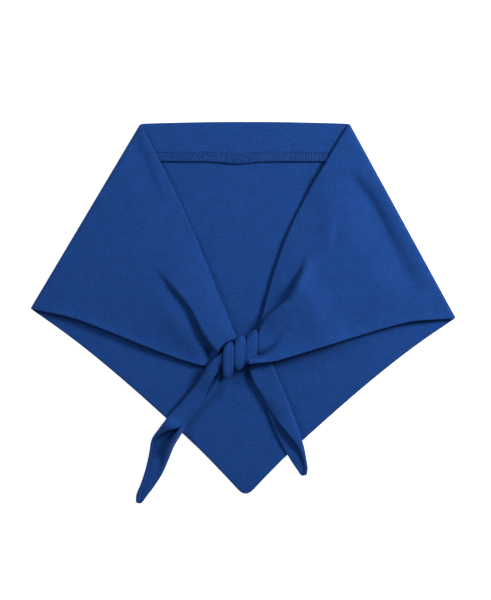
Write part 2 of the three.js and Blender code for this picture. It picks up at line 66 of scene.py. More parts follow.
# Sizes of the neckerchief, in millimetres.
WALL = 1.4
CLEARANCE = 0.3
HEM_PITCH = 1.8
PLEAT_PITCH = 2.0
LEAST_TURN = 0.01
SIDE_FOLD_PITCH = 5.4
CORNER_FOLD_PITCH = 4.0
NECK_WIDTH = 167.0
NECK_CROWN = 1.4
BACK_LENGTH = 300.0
POINT_ASIDE = 0.5
POINT_ROUND = 9.0
LEFT_SPREAD = 171.0
LEFT_DROP = 148.5
RIGHT_SPREAD = 168.0
RIGHT_DROP = 156.0
LEG_HOLLOW = 6.0
HEM_SAG = 1.8
HEM_SAG_PLACE = 0.47
HEM_SAG_WIDTH = 0.07
HEM_CURL = 1.0
HEM_CURL_WIDTH = 3.0
EDGE_CURL = 1.9
EDGE_CURL_WIDTH = 6.0
SETTLE = 2.0
STRIP_FALL = 0.4
REST_FALL = (0.6, 0.4)
REST_RUN = 18.0
ROLL_REACH = 7.0
ROLL_DROP = -0.15
KNOT_ASIDE = -4.0
KNOT_DROP = 184.5
TURN_PITCH = 9.25
TURN_GAP = 0.45
TURN_THICKNESS = 4.5
TURN_LENGTH = 27.0
BEHIND_NARROWING = 0.42
END_NARROWING = 0.16
PLY_WIDTH = 0.12
CORE_THICKNESS = 5.5
LEFT_TAIL_LENGTH = 131.8
LEFT_TAIL_ANGLE = 239.5
RIGHT_TAIL_LENGTH = 108.5
RIGHT_TAIL_ANGLE = 292.8
RIGHT_TAIL_RISE = -2.0
TAIL_WIDTH = 18.0
TAIL_PITCH = 2.0
DROP_RUN = 21.0
DROOP = 0.6
LIP_PLACE = 0.89
LIP_WIDTH = 0.085
LIP_SPREAD = 4.0
REST_GAP = 0.05
STITCH_PITCH = 2.2
STITCH_SHIFT = 0.12
STITCH_MARGIN = 4.0
THREAD_RADIUS = 0.3
THREAD_SKEW = (0.3, 0.2, 1.0)

# Where a slow change begins and how long it runs, as shares of the length or width of the wing, of
# the hem or of an end.
LEFT_SWELL = (0.6, 0.3)
RIGHT_SWELL = (0.45, 0.15)
RIGHT_SWELL_END = (0.8, 0.2)
SWELL_KEPT = 0.4
FALL_CHANGE = (0.75, 0.2)
ROLL_ALONG = (0.9, 0.1)
ROLL_ACROSS = (0.62, 0.2)
SETTLE_ALONG = (0.24, 0.14)
CURL_ALONG = (0, 0.15)
SLANT_ALONG = (0, 0.2)
HEM_SHOWN = (0.05, 0.08)
DROOP_FRONT = (0.6, 0.3)
LIP_ALONG = (0, 0.4)

# Heights of the layers, each at the middle of its cloth.
BACK_LEVEL = WALL / 2
HEM_ROUND = (HEM_PITCH + WALL) / 2
TURN_BOTTOM = WALL + CLEARANCE
CORE_BOTTOM = TURN_BOTTOM + TURN_THICKNESS + CLEARANCE
KNOT_MIDDLE = CORE_BOTTOM + CORE_THICKNESS / 2


def table(names, *rows):
    """A table of named columns."""
    return {name: np.array(column, float) for name, column in zip(names.split(), zip(*rows))}


# Depth of each lower edge's hollow along its length, as shares of its length and of LEG_HOLLOW.
LEG = table(
    "along hollow",
    (0, 0), (0.12, 0.5), (0.25, 0.84), (0.42, 1), (0.6, 0.95), (0.76, 0.78), (0.88, 0.45), (1, 0),
)

# The knot's turns: the place of each one's middle as shares of TURN_PITCH, its length as a share of
# TURN_LENGTH, how many millimetres up it is shifted, its width as a share of its usual one, its
# slant and by how many millimetres its two ends are rounded. Its cloth is doubled: ply is where
# the line between the two layers runs, from -1 at the turn's left to 1 at its right, and depth is
# how deep it is.
TURNS = table(
    "across up length shift width slant cap ply depth",
    (-1, -0.65, 1.06, 0, 1, 0.62, 1.2, 0.4, 0.6),
    (0, 0, 1, 0, 1.1, 0.42, 1.8, 0.55, 0.45),
    (1, 0.49, 0.92, 0.2, 1.12, 0.85, 0.5, -0.35, 0.2),
)

# Sections of the wings from the side fold to the knot, as the model has them.
WING_COLUMNS = "along neck_bow low_bow level puff hollow line turn overlap hem"
LEFT_WING = table(
    WING_COLUMNS,
    (0, 0, 0, 0, 0, 0, 0.42, 0, 0, 1),
    (0.06, 0.004, 0.008, 0, 0.12, 0, 0.42, 0, 0, 1),
    (0.2, 0.01, 0.021, 0, 0.42, 0, 0.42, 0, 0, 1),
    (0.35, 0.016, 0.015, 0.05, 0.75, 0, 0.42, 0, 0, 1),
    (0.48, 0.016, 0.006, 0.12, 0.95, 0, 0.42, 0.12, 0, 1),
    (0.6, 0.012, -0.003, 0.24, 1, 0, 0.42, 0.6, 0, 0.95),
    (0.72, 0.008, -0.009, 0.42, 0.95, 0.02, 0.43, 1, 0.05, 0.85),
    (0.85, 0.004, -0.011, 0.7, 0.6, 0.1, 0.52, 1, 0.5, 0.6),
    (1, 0, 0, 1, 0, 0.28, 0.62, 1, 0.9, 0.18),
)
RIGHT_WING = table(
    WING_COLUMNS,
    (0, 0, 0, 0, 0, 0, 0.3, 0, 0, 1),
    (0.06, 0.01, 0.012, 0, 0.2, 0, 0.3, 0, 0, 1),
    (0.2, 0.028, 0.034, 0, 0.5, 0, 0.3, 0, 0, 1),
    (0.35, 0.046, 0.033, 0, 0.8, 0, 0.3, 0, 0, 1),
    (0.5, 0.054, 0.026, 0.03, 0.95, 0, 0.22, 0.05, 0, 0.9),
    (0.55, 0.054, 0.023, 0.05, 0.95, 0, 0.235, 0.2, 0, 0.82),
    (0.6, 0.053, 0.02, 0.05, 0.95, 0, 0.26, 0.46, 0, 0.75),
    (0.66, 0.048, 0.016, 0.05, 0.9, 0, 0.31, 0.8, 0, 0.67),
    (0.72, 0.043, 0.012, 0.06, 0.85, 0, 0.36, 1, 0.05, 0.6),
    (0.82, 0.029, 0.006, 0.12, 0.65, 0, 0.28, 1, 0.4, 0.5),
    (0.91, 0.014, 0.002, 0.36, 0.35, 0, 0.16, 1, 0.8, 0.36),
    (1, 0, 0, 1, 0, 0, 0.1, 1, 0.9, 0.25),
)

# Sections of the ends, from the knot to the tip, as the model has them.
TAIL_COLUMNS = "along aside width angle front pitch sink lip"
LEFT_TAIL = table(
    TAIL_COLUMNS,
    (0, 0, 0.66, -90, 0.9, 2.4, -0.2, 0),
    (0.08, -0.01, 0.79, -54, 0.66, 2.5, 0.1, 1.4),
    (0.144, -0.002, 0.84, -41, 0.58, 2.4, 0.35, 2),
    (0.2, -0.006, 0.84, -38, 0.66, 2, 0.5, 1.8),
    (0.264, -0.014, 0.84, -37, 0.84, 1.8, 0.62, 1.2),
    (0.354, -0.031, 0.82, -33, 0.94, 1.9, 0.74, 1.1),
    (0.448, -0.05, 0.88, -24, 0.96, 2.6, 0.86, 3),
    (0.492, -0.053, 0.93, -20, 0.7, 4.4, 0.9, 8.5),
    (0.542, -0.056, 0.98, -18, 0.28, 3.2, 0.95, 12.5),
    (0.616, -0.058, 1.01, -18, 0.12, 1, 1, 9),
    (0.699, -0.037, 0.88, -16, 0.12, 0.8, 1, 3.4),
    (0.795, -0.017, 0.74, -15, 0.16, 0.8, 1, 0.6),
    (0.886, -0.009, 0.56, -14, 0.3, 0.9, 1, 0),
    (0.958, -0.008, 0.42, -12, 0.4, 1, 1, 0),
    (1, 0, 0.24, -12, 0.7, 1, 1, 0),
)
RIGHT_TAIL = table(
    TAIL_COLUMNS,
    (0.075, 0.05, 0.7, -137, 0.9, 1, 1, 0),
    (0.125, 0.018, 1.04, -168, 0.96, 1, 0.85, 0),
    (0.237, 0.012, 1.08, -169, 0.96, 1, 0.62, 0),
    (0.365, 0.023, 0.95, -165, 0.97, 1.4, 0.66, 0),
    (0.48, 0.02, 0.97, -167, 0.88, 1.9, 0.75, 0),
    (0.598, 0.015, 0.99, -166, 0.66, 2.4, 0.85, 0),
    (0.725, 0.012, 0.91, -168, 0.38, 2.4, 0.92, 0),
    (0.805, 0.012, 0.8, -167, 0.24, 1.8, 1, 0),
    (0.888, 0.009, 0.62, -167, 0.16, 1, 1, 0),
    (0.961, 0.008, 0.42, -168, 0.2, 0.7, 1, 0),
    (1, 0, 0.24, -170, 0.4, 0.7, 1, 0),
)

# Dents and ridges of the wings: each a line of places in millimetres with its half width and its
# height there. A fifth value is the half width on the line's right.
RELIEF_LINES = {
    "right_groove": (
        (78, -40, 4.5, 0, 10), (87.5, -48, 5.2, -2.4, 13), (96.8, -59.5, 5.6, -4, 14),
        (103.8, -70.8, 5.8, -4.6, 15), (109.8, -83, 6, -4.4, 15), (116.4, -97.2, 6.6, -4, 15),
        (122.4, -109.8, 7.4, -3.7, 15), (129, -122.4, 7.6, -3, 13), (135.6, -133.6, 7, -1.6, 11),
        (141.4, -142.3, 5, 0, 8),
    ),
    "right_ridge": (
        (69, -68, 3, 0, 10), (69, -84, 2.8, 1.5, 10), (67, -98, 2.8, 1.6, 9),
        (59.5, -107, 3, 1.6, 7), (52.5, -115, 3.2, 1.5, 6), (48, -127, 3.4, 1.8, 5),
        (42.5, -137, 3.2, 2.6, 4.5), (34.5, -147.5, 3.4, 2.2, 4.2), (25, -156.5, 4, 0.8, 4),
        (16, -166, 4, 0, 4),
    ),
    "right_hollow": (
        (57, -80, 5, 0), (56, -94, 6, -0.3), (50, -106, 5, -0.5), (42, -118, 4, -0.3),
    ),
    "right_strands": (
        (9, -186.8, 2, -5), (16, -184.5, 2, -4), (21.6, -179.6, 2.1, -3),
        (26.4, -172.9, 2.3, -2.2), (31.2, -167.3, 2.8, -1.2), (36, -160, 3, 0),
    ),
    "right_low_rise": (
        (14, -191.5, 5, 1.4), (32, -188.9, 5, 2.2), (52, -183.3, 5, 2.4), (76, -175.3, 5, 1.8),
        (108, -166.5, 5, 0),
    ),
    "roll_end": (
        (2, -190.5, 3.4, 3.4), (8, -190.8, 3.2, 2.8), (16, -190, 2.6, 1.2), (25, -188, 2.4, 0),
    ),
    "right_roll": ((9, -188, 1.6, -1.6), (18.4, -188, 1.8, -1.2), (28, -185.7, 2.2, 0)),
    "left_crease": (
        (-88, -7, 2.4, -0.4, 5), (-86.2, -18.5, 3, -1.1, 8), (-80.6, -30.5, 3.6, -1.5, 9),
        (-75.8, -42.5, 4, -1.5, 9), (-71, -54.5, 4.2, -1, 9), (-62, -76, 4.4, 0, 9),
    ),
    "left_swell": (
        (-72, -134, 8, 0), (-62, -152, 9, 1.4), (-48, -168, 9, 2), (-38, -182, 7, 1.6),
        (-36, -190, 5, 1),
    ),
    "left_dive": ((-28, -184, 4, -2.5), (-27, -192, 4.5, -2.5), (-26, -199, 4, -2)),
}
RELIEF = [table("x y width height right", *rows) for rows in RELIEF_LINES.values()]


def relief(spots):
    """The height that the dents and ridges add at places in millimetres."""
    total = np.zeros(len(spots))
    for rows in RELIEF:
        line = np.column_stack([rows["x"], rows["y"]])
        right = rows.get("right", rows["width"])
        nearest = np.full(len(spots), np.inf)
        made = np.zeros(len(spots))
        for index in range(len(line) - 1):
            chord, offset = line[index + 1] - line[index], spots - line[index]
            t = np.clip(offset @ chord / (chord @ chord), 0, 1)
            distance = np.linalg.norm(offset - t[:, None] * chord, axis=1)
            on_left = chord[0] * offset[:, 1] - chord[1] * offset[:, 0] > 0
            left_width, right_width, height = (
                mix(column[index], column[index + 1], eased(t))
                for column in (rows["width"], right, rows["height"])
            )
            width = np.where(on_left, left_width, right_width)
            closer = distance < nearest
            nearest = np.where(closer, distance, nearest)
            made = np.where(closer, height * np.exp(-((distance / width) ** 2)), made)
        total += made
    return total


def read(rows, column, along):
    """A table's column at a place between its rows, on a smooth curve through them."""
    places, values = rows["along"], rows[column]
    last = len(places) - 1
    row = int(np.clip(np.searchsorted(places, along, side="right") - 1, 0, last - 1))

    def slope(index):
        before, after = max(index - 1, 0), min(index + 1, last)
        return (values[after] - values[before]) / (places[after] - places[before])

    span = places[row + 1] - places[row]
    t = min(max((along - places[row]) / span, 0.0), 1.0)
    bend = (values[row + 1] - values[row]) * t * t * (3 - 2 * t)
    leave = slope(row) * span * t * (1 - t) ** 2
    arrive = slope(row + 1) * span * t * t * (1 - t)
    return values[row] + bend + leave - arrive


def flat(x, y):
    return np.array([x, y], float)


def mix(a, b, t):
    return a + (b - a) * t


def unit(vector):
    return vector / np.linalg.norm(vector)


def direction(angle):
    """The direction at an angle in degrees from x."""
    return flat(math.cos(math.radians(angle)), math.sin(math.radians(angle)))


def eased(t):
    """A smooth step from 0 to 1."""
    t = np.clip(t, 0, 1)
    return t * t * (3 - 2 * t)


def eased_in(place, start_and_run):
    """A smooth step from 0 to 1 that begins at a place and takes a given run."""
    start, run = start_and_run
    return eased((place - start) / run)


def lengths_along(line):
    """How far each point of a line is along it."""
    return np.concatenate([[0], np.cumsum(np.linalg.norm(np.diff(line, axis=0), axis=1))])


def cloth_length(name):
    """One of the lengths that a user can change, in millimetres."""
    return getattr(bpy.context.scene.neckerchief_cloth, name) * 1000


def in_model(points):
    """Points in millimetres, moved to the model's place and turned to metres."""
    low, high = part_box("knot_wraps")
    aside = (low.x + high.x) / 2 - KNOT_ASIDE * MM
    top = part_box("neck_hem")[1].y
    return points * MM + np.array([aside, top, 0.0])


# The corners and edges that the pieces share.
POINT = flat(POINT_ASIDE, -BACK_LENGTH)
KNOT = flat(KNOT_ASIDE, -KNOT_DROP)


def turn_values(row, names):
    """Values of one of the knot's turns, or of a place between two."""
    return [np.interp(row, range(3), TURNS[name]) for name in names.split()]


def turn_place(row):
    """The middle of one of the knot's turns, or of a place between two."""
    return KNOT + flat(*turn_values(row, "across up")) * TURN_PITCH


class Side:
    """One side of the neckerchief: its fold, its wing's edges and its height there."""

    def __init__(self, sign, spread, drop, neck_end, low_end, knot_level, rows, strip_on_top):
        self.sign = sign
        self.rows = rows
        self.knot_level = knot_level
        self.strip_on_top = strip_on_top
        self.top = flat(sign * NECK_WIDTH / 2, -NECK_CROWN)
        self.corner = flat(sign * spread, -drop)
        self.neck_end = neck_end
        self.low_end = low_end
        self.along = unit(self.corner - self.top)
        self.out = flat(self.along[1], -self.along[0])
        if self.out[0] * sign < 0:
            self.out = -self.out
        leg = unit(POINT - self.corner)
        neck = flat(-sign, 0)
        self.slides = [
            -self.inset(share) * (edge @ self.along) / (edge @ self.out)
            for share, edge in ((0, neck), (1, leg))
        ]

    def fold_pitch(self, share):
        return mix(SIDE_FOLD_PITCH, CORNER_FOLD_PITCH, share)

    def inset(self, share):
        return (self.fold_pitch(share) + WALL) / 2

    def fold_line(self, share, angle=-math.pi / 2):
        """A place on the side fold's axis: the cloth's edges cross the fold aslant, so the place
        slides along it from under, -90 degrees, to over, 90."""
        slide = mix(*self.slides, share) * -angle / (math.pi / 2)
        return mix(self.top, self.corner, share) - self.out * self.inset(share) + self.along * slide

    def edge(self, start, end, column, place):
        """A point of one of the wing's two edges."""
        chord = end - start
        bow = read(self.rows, column, place) * (-1 if self.sign > 0 else 1)
        return start + chord * place + flat(-chord[1], chord[0]) * bow

    def edges(self, place):
        over = math.pi / 2
        neck = self.edge(self.fold_line(0, over), self.neck_end, "neck_bow", place)
        low = self.edge(self.fold_line(1, over), self.low_end, "low_bow", place)
        return neck, low

    def width(self, place):
        neck, low = self.edges(place)
        return np.linalg.norm(low - neck)

    def pleat(self, place):
        """The pleat at a place: two bends of one angle, with a straight layer between them."""
        angle = math.pi * min(max(read(self.rows, "turn", place), LEAST_TURN), 1)
        if self.strip_on_top:
            swell = eased_in(place, LEFT_SWELL)
        else:
            kept = mix(1, SWELL_KEPT, eased_in(place, RIGHT_SWELL_END))
            swell = eased_in(place, RIGHT_SWELL) * kept
        pitch = PLEAT_PITCH * (1 + swell)
        radius = pitch / 2 * math.pi / angle
        middle = CLEARANCE + cloth_length("pleat_depth") * max(read(self.rows, "overlap", place), 0)
        lift = 2 * radius * (1 - math.cos(angle)) + middle * math.sin(angle)
        line = self.width(place) * read(self.rows, "line", place)
        half = pitch / 2
        start = line - half
        if not self.strip_on_top:
            start = line + (middle + half) * (1 - math.cos(angle)) / 2
        return angle, radius, middle, lift, start


# Where the wings' edges reach the knot.
LEFT_NECK_END = KNOT + flat(-TURN_PITCH * 0.3, (TURN_LENGTH - WALL) / 2)
LEFT_LOW_END = turn_place(0) + flat(-TURN_PITCH / 2 - 3, -TURN_LENGTH / 4)
RIGHT_OF_KNOT = turn_place(2) + flat(TURN_PITCH / 2 + WALL / 2, 0)
RIGHT_NECK_END = RIGHT_OF_KNOT + flat(0, TURN_LENGTH * 0.45)
RIGHT_LOW_END = RIGHT_OF_KNOT - flat(0, TURN_LENGTH * 0.52)

LEFT = Side(
    -1, LEFT_SPREAD, LEFT_DROP, LEFT_NECK_END, LEFT_LOW_END,
    TURN_BOTTOM + WALL / 2 + CLEARANCE, LEFT_WING, True,
)
RIGHT = Side(
    1, RIGHT_SPREAD, RIGHT_DROP, RIGHT_NECK_END, RIGHT_LOW_END,
    CORE_BOTTOM + WALL / 2, RIGHT_WING, False,
)

# How finely each piece is divided: rows along it and steps across it.
WING_ROWS = 96
FOLD_ROWS = 12
BACK_ROWS = 150
HEM_STEPS = 12
ROUND_STEPS = 8
STRIP_STEPS = 34
BEND_STEPS = 9
MIDDLE_STEPS = 5
REST_STEPS = 52
LEG_STEPS = 60
POINT_STEPS = 11
EDGE_STEPS = 60
LEFT_TAIL_ROWS = 100
RIGHT_TAIL_ROWS = 90
UPPER_STEPS = 22
FOLD_STEPS = 9
LOWER_STEPS = 24
THREAD_SIDES = 6
HEM_COLUMNS = HEM_STEPS + ROUND_STEPS - 2
RIM_ANGLES = np.radians([60, 30, 0, -30, -60])
SHARP_ANGLE = math.radians(50)

# The angles, in degrees, over which the knot's band is wound, nearly three times round. The powers
# flatten its path and its section.
KNOT_START = -60
KNOT_END = 960
KNOT_STEP = 4.0
KNOT_SIDES = 44
PATH_POWER = 0.85
BAND_POWER = 0.7


def strip_down(side, place, across):
    """How much lower than at its pleat a strip on top lies, towards the neck edge."""
    _, _, _, lift, start = side.pleat(place)
    share = STRIP_FALL if side.strip_on_top else 0
    return lift * share * (1 - np.clip(across / start, 0, 1)) ** 2


def section_lengths(side, place):
    """The main cloth's section at a place: lengths in from the edge, lifts and flat lengths."""
    angle, radius, middle, lift, start = side.pleat(place)
    on_strip = np.linspace(HEM_ROUND, start, STRIP_STEPS)[:-1]
    strip = np.column_stack([on_strip, strip_down(side, place, on_strip)])
    t = angle * np.linspace(0, 1, BEND_STEPS)
    first = flat(start, 0) + radius * np.column_stack([np.sin(t), 1 - np.cos(t)])
    way = middle * flat(math.cos(angle), math.sin(angle))
    layer = first[-1] + np.linspace(0, 1, MIDDLE_STEPS)[:, None] * way
    second = layer[-1] + first[-1] - first[::-1]
    end = second[-1, 0]
    fall = 0 if side.strip_on_top else lift * mix(*REST_FALL, eased_in(place, FALL_CHANGE))
    beyond = np.linspace(end, side.width(place), REST_STEPS)[1:]
    rest = np.column_stack([beyond, lift - fall * eased((beyond - end) / REST_RUN)])
    profile = np.vstack([strip, first[:-1], layer[:-1], second, rest])
    if side.strip_on_top:
        profile[:, 1] = lift - profile[:, 1]
    return profile[:, 0], profile[:, 1], HEM_ROUND + lengths_along(profile)


def hem_lengths(depth, under):
    """The hem's section: lengths in from the edge, lifts and flat lengths past the edge."""
    flap = np.linspace(depth, HEM_ROUND, HEM_STEPS)[:-1]
    turn = np.radians(np.linspace(-90, 90, ROUND_STEPS))[:-1]
    across = np.concatenate([flap, HEM_ROUND - HEM_PITCH / 2 * np.cos(turn)])
    lift = np.concatenate([np.full(len(flap), under), under + HEM_PITCH / 2 * (1 + np.sin(turn))])
    lengths = lengths_along(np.column_stack([across, lift]))
    rest = math.hypot(across[-1] - HEM_ROUND, lift[-1] - under - HEM_PITCH)
    return across, lift, HEM_ROUND + lengths - lengths[-1] - rest


def hem_depth_at(side, place):
    """The hem's depth along the wing's section, longer where the section slants at the fold."""
    drop = side.fold_line(0)[1] - side.fold_line(1)[1]
    slant = mix(side.width(0) / drop, 1, eased_in(place, SLANT_ALONG))
    depth = cloth_length("hem_depth") * read(side.rows, "hem", place) * slant
    return max(depth, 2 * HEM_ROUND)


def wing_row(side, place):
    """A row of the wing's points with its hem's, and their places on the flat cloth."""
    strip_lift = side.pleat(place)[3] if side.strip_on_top else 0.0
    hem_across, hem_lift, hem_flat = hem_lengths(hem_depth_at(side, place), strip_lift - HEM_PITCH)
    hem = hem_across, hem_lift - strip_down(side, place, hem_across), hem_flat
    main_cloth = section_lengths(side, place)
    across, lift, lengths = (np.concatenate(parts) for parts in zip(hem, main_cloth))
    neck, low = side.edges(place)
    share = across / side.width(place)
    bulge = np.sin(math.pi * np.clip(share, 0, 1))
    ahead = unit(low - neck)
    back = unit(flat(low[1] - neck[1], neck[0] - low[0])) * -side.sign
    spots = neck + ahead * across[:, None]
    spots = spots + back * (TURN_LENGTH * read(side.rows, "hollow", place) * bulge)[:, None]
    if not side.strip_on_top:
        roll = ROLL_REACH * eased_in(place, ROLL_ALONG) * eased_in(share, ROLL_ACROSS)
        spots = spots - np.column_stack([roll, ROLL_DROP * roll])
    settled = SETTLE * eased_in(place, SETTLE_ALONG) * (1 - np.clip(share, 0, 1))
    fold_level = BACK_LEVEL + side.fold_pitch(share) - settled
    from_low = side.width(place) - across
    height = (
        mix(fold_level, side.knot_level, read(side.rows, "level", place))
        + cloth_length("puff") * read(side.rows, "puff", place) * bulge
        + relief(spots)
        + EDGE_CURL * eased_in(place, CURL_ALONG) * np.exp(-from_low / EDGE_CURL_WIDTH)
        + lift
    )
    laid = neck + ahead * lengths[:, None]
    away = (side.fold_line(0) - laid) @ side.out
    radius = side.fold_pitch(np.clip(share, 0, 1)) / 2
    laid = laid + side.out * (2 * away + math.pi * radius)[:, None]
    return np.column_stack([spots, height]), laid


def fold_row(side, angle):
    """A row round the side fold, from under the back, -90 degrees, to over it, 90."""
    across, inward, lengths = start_section(side)
    share = across / side.width(0)
    radius = side.fold_pitch(share) / 2
    line = side.fold_line(share[:, None], angle)
    reach = radius - inward
    spots = line + side.out * (reach * math.cos(angle))[:, None]
    height = BACK_LEVEL + radius + reach * math.sin(angle)
    laid = on_fold(side, lengths) + side.out * (radius * (angle + math.pi / 2))[:, None]
    return np.column_stack([spots, height]), laid


def start_section(side):
    """The section at the side fold: lengths in from the edge, inward steps and flat lengths."""
    across, _, lengths = section_lengths(side, 0)
    hem_across, hem_lift, hem_flat = hem_lengths(hem_depth_at(side, 0), -HEM_PITCH)
    inward = np.concatenate([-hem_lift, np.zeros(len(across))])
    return np.concatenate([hem_across, across]), inward, np.concatenate([hem_flat, lengths])


def on_fold(side, lengths):
    """Places along a side fold, also on the flat cloth, at lengths in from the neck edge."""
    return side.fold_line((lengths / side.width(0))[:, None])


def leg_points(side, count):
    """A lower edge of the back, from the corner to the middle of the rounded point."""
    start = side.fold_line(1)
    chord = POINT - start
    inward = unit(flat(-chord[1], chord[0])) * LEG_HOLLOW
    if inward[1] < 0:
        inward = -inward
    stop = 1 - POINT_ROUND / np.linalg.norm(chord)

    def at(along):
        return start + chord * along + inward * read(LEG, "hollow", along)

    return np.array([at(t * stop) for t in np.linspace(0, 1, count)])


def lower_edge(count):
    """The back's lower boundary from the left corner round the point to the right one."""
    left, right = leg_points(LEFT, LEG_STEPS), leg_points(RIGHT, LEG_STEPS)
    t = np.linspace(0, 1, POINT_STEPS + 2)[1:-1, None]
    point = left[-1] * (1 - t) ** 2 + POINT * 2 * t * (1 - t) + right[-1] * t * t
    line = np.vstack([left, point, right[::-1]])
    lengths = lengths_along(line)
    middle = lengths[len(left) + POINT_STEPS // 2]
    places = np.interp(np.linspace(0, 1, count), (0, 0.5, 1), (0, middle, lengths[-1]))
    return np.column_stack([np.interp(places, lengths, line[:, axis]) for axis in (0, 1)])


def back_rows(count):
    """The back's rows from the left fold to the right one, both left out, with their hem's."""
    across, inward, lengths = start_section(LEFT)
    left, left_laid = on_fold(LEFT, across), on_fold(LEFT, lengths)
    share = across / LEFT.width(0)
    across, _, lengths = start_section(RIGHT)
    right, right_laid = on_fold(RIGHT, across), on_fold(RIGHT, lengths)
    low_left, low_right = LEFT.fold_line(1), RIGHT.fold_line(1)
    bottom = lower_edge(count)
    deep = np.zeros(len(share))
    deep[:HEM_COLUMNS] = share[:HEM_COLUMNS] / share[0]
    rows = []
    for step, t in enumerate(np.linspace(0, 1, count)):
        spots = mix(left, right, t)
        crown = NECK_CROWN * (1 - (2 * t - 1) ** 2)
        sag = crown + HEM_SAG * math.exp(-(((t - HEM_SAG_PLACE) / HEM_SAG_WIDTH) ** 2))
        spots[:, 1] += crown * (1 - np.clip(share, 0, 1)) - sag * deep**2
        pull = np.where(inward > 0, 0, np.clip(share, 0, 1))[:, None]
        pull = pull * (bottom[step] - mix(low_left, low_right, t))
        spots = spots + pull
        laid = mix(left_laid, right_laid, t) + pull
        from_edge = (share[0] - share) * LEFT.width(0)
        shown = eased_in(0.5 - abs(t - 0.5), HEM_SHOWN)
        curl = HEM_CURL * shown * np.exp(-((from_edge / HEM_CURL_WIDTH) ** 2))
        height = BACK_LEVEL + inward + np.where(np.arange(len(share)) < HEM_STEPS, curl, 0)
        rows.append((np.column_stack([spots, height]), laid))
    return rows[1:-1]


def large_cloth():
    """The whole large cloth from the left wing's knot end to the right one's: points, places on
    the flat cloth and the rows where each part begins."""
    places = np.linspace(0, 1, WING_ROWS)
    angles = np.radians(np.linspace(-90, 90, FOLD_ROWS))[:-1]
    left = [wing_row(LEFT, place) for place in places[::-1]]
    left += [fold_row(LEFT, angle) for angle in angles[::-1]]
    back = back_rows(BACK_ROWS)
    right = [fold_row(RIGHT, angle) for angle in angles]
    right += [wing_row(RIGHT, place) for place in places]
    points, laid = (np.array(part) for part in zip(*left, *back, *right))
    return points, laid, (len(left), len(left) + len(back))


def normals_of(points):
    """The right side's direction at each point of a grid."""
    down = np.gradient(points, axis=0)
    across = np.gradient(points, axis=1)
    made = np.cross(down, across)
    return made / np.maximum(np.linalg.norm(made, axis=2, keepdims=True), TINY)


def close_sheet(name, points, normals, laid, free):
    """A sheet of the wall's thickness round a grid of its middle points. free says of the first
    and last row and the first and last column whether each is a rounded edge of the cloth."""
    reach = np.zeros(points.shape)
    edges = np.s_[0], np.s_[-1], np.s_[:, 0], np.s_[:, -1]
    inner = np.s_[1], np.s_[-2], np.s_[:, 1], np.s_[:, -2]
    for open_end, edge, beside in zip(free, edges, inner):
        reach[edge] += open_end * (points[edge] - points[beside])
    length = np.linalg.norm(reach, axis=2, keepdims=True)
    reach = np.where(length > TINY, reach / np.maximum(length, TINY), 0)
    grid = np.arange(length.size).reshape(length.shape[:2])
    points, normals, reach, laid = (
        part.reshape(grid.size, -1) for part in (points, normals, reach, laid)
    )
    half = WALL / 2
    border = np.concatenate([grid[0], grid[1:, -1], grid[-1, -2::-1], grid[-2:0:-1, 0]])
    rims = [
        points[border] + reach[border] * half * math.cos(a) + normals[border] * half * math.sin(a)
        for a in RIM_ANGLES
    ]
    places = np.vstack([points + normals * half, points - normals * half, *rims])
    spots = np.vstack([laid, laid] + [laid[border]] * len(rims))
    quads = np.stack([grid[:-1, :-1], grid[1:, :-1], grid[1:, 1:], grid[:-1, 1:]], axis=-1)
    quads = quads.reshape(-1, 4)
    faces = [quads, quads[:, ::-1] + grid.size]
    on_rims = 2 * grid.size + np.arange(len(rims) * len(border)).reshape(len(rims), -1)
    bands = [border, *on_rims, border + grid.size]
    for inner, outer in zip(bands, bands[1:]):
        faces.append(np.column_stack([inner, np.roll(inner, -1), np.roll(outer, -1), outer]))
    return mesh_object(name, places, np.vstack(faces).tolist(), spots)


def mesh_object(name, places, faces, spots=None):
    """An object from places in millimetres, faces and, for cloth, each place on the flat cloth."""
    mesh = bpy.data.meshes.new(name)
    mesh.from_pydata(in_model(places).tolist(), [], faces)
    if spots is not None:
        layer = mesh.uv_layers.new(name="cloth")
        corners = np.zeros(len(mesh.loops), np.int32)
        mesh.loops.foreach_get("vertex_index", corners)
        layer.data.foreach_set("uv", (spots[corners] * MM).astype(np.float32).ravel())
    mesh.validate()
    mesh.update()
    piece = bpy.data.objects.new(name, mesh)
    bpy.context.scene.collection.objects.link(piece)
    face_outwards(piece)
    return piece


def face_outwards(piece):
    """Turns a closed piece's faces outwards and shades it smooth but for its sharp edges."""
    bpy.ops.object.select_all(action="DESELECT")
    bpy.context.view_layer.objects.active = piece
    piece.select_set(True)
    bpy.ops.object.mode_set(mode="EDIT")
    bpy.ops.mesh.select_all(action="SELECT")
    bpy.ops.mesh.normals_make_consistent(inside=False)
    bpy.ops.object.mode_set(mode="OBJECT")
    bpy.ops.object.shade_smooth_by_angle(angle=SHARP_ANGLE)
    piece.select_set(False)


def finish_piece(piece, material):
    """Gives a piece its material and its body."""
    piece.data.materials.append(material)
    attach(piece, BODY)


def finish_sheet(piece, node):
    """Finishes a single layer of cloth: gives it the cloth's material and its body and hides the
    model's part that it stands for."""
    finish_piece(piece, cloth_material())
    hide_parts(node)


def soft_power(value, power):
    return np.sign(value) * np.abs(value) ** power


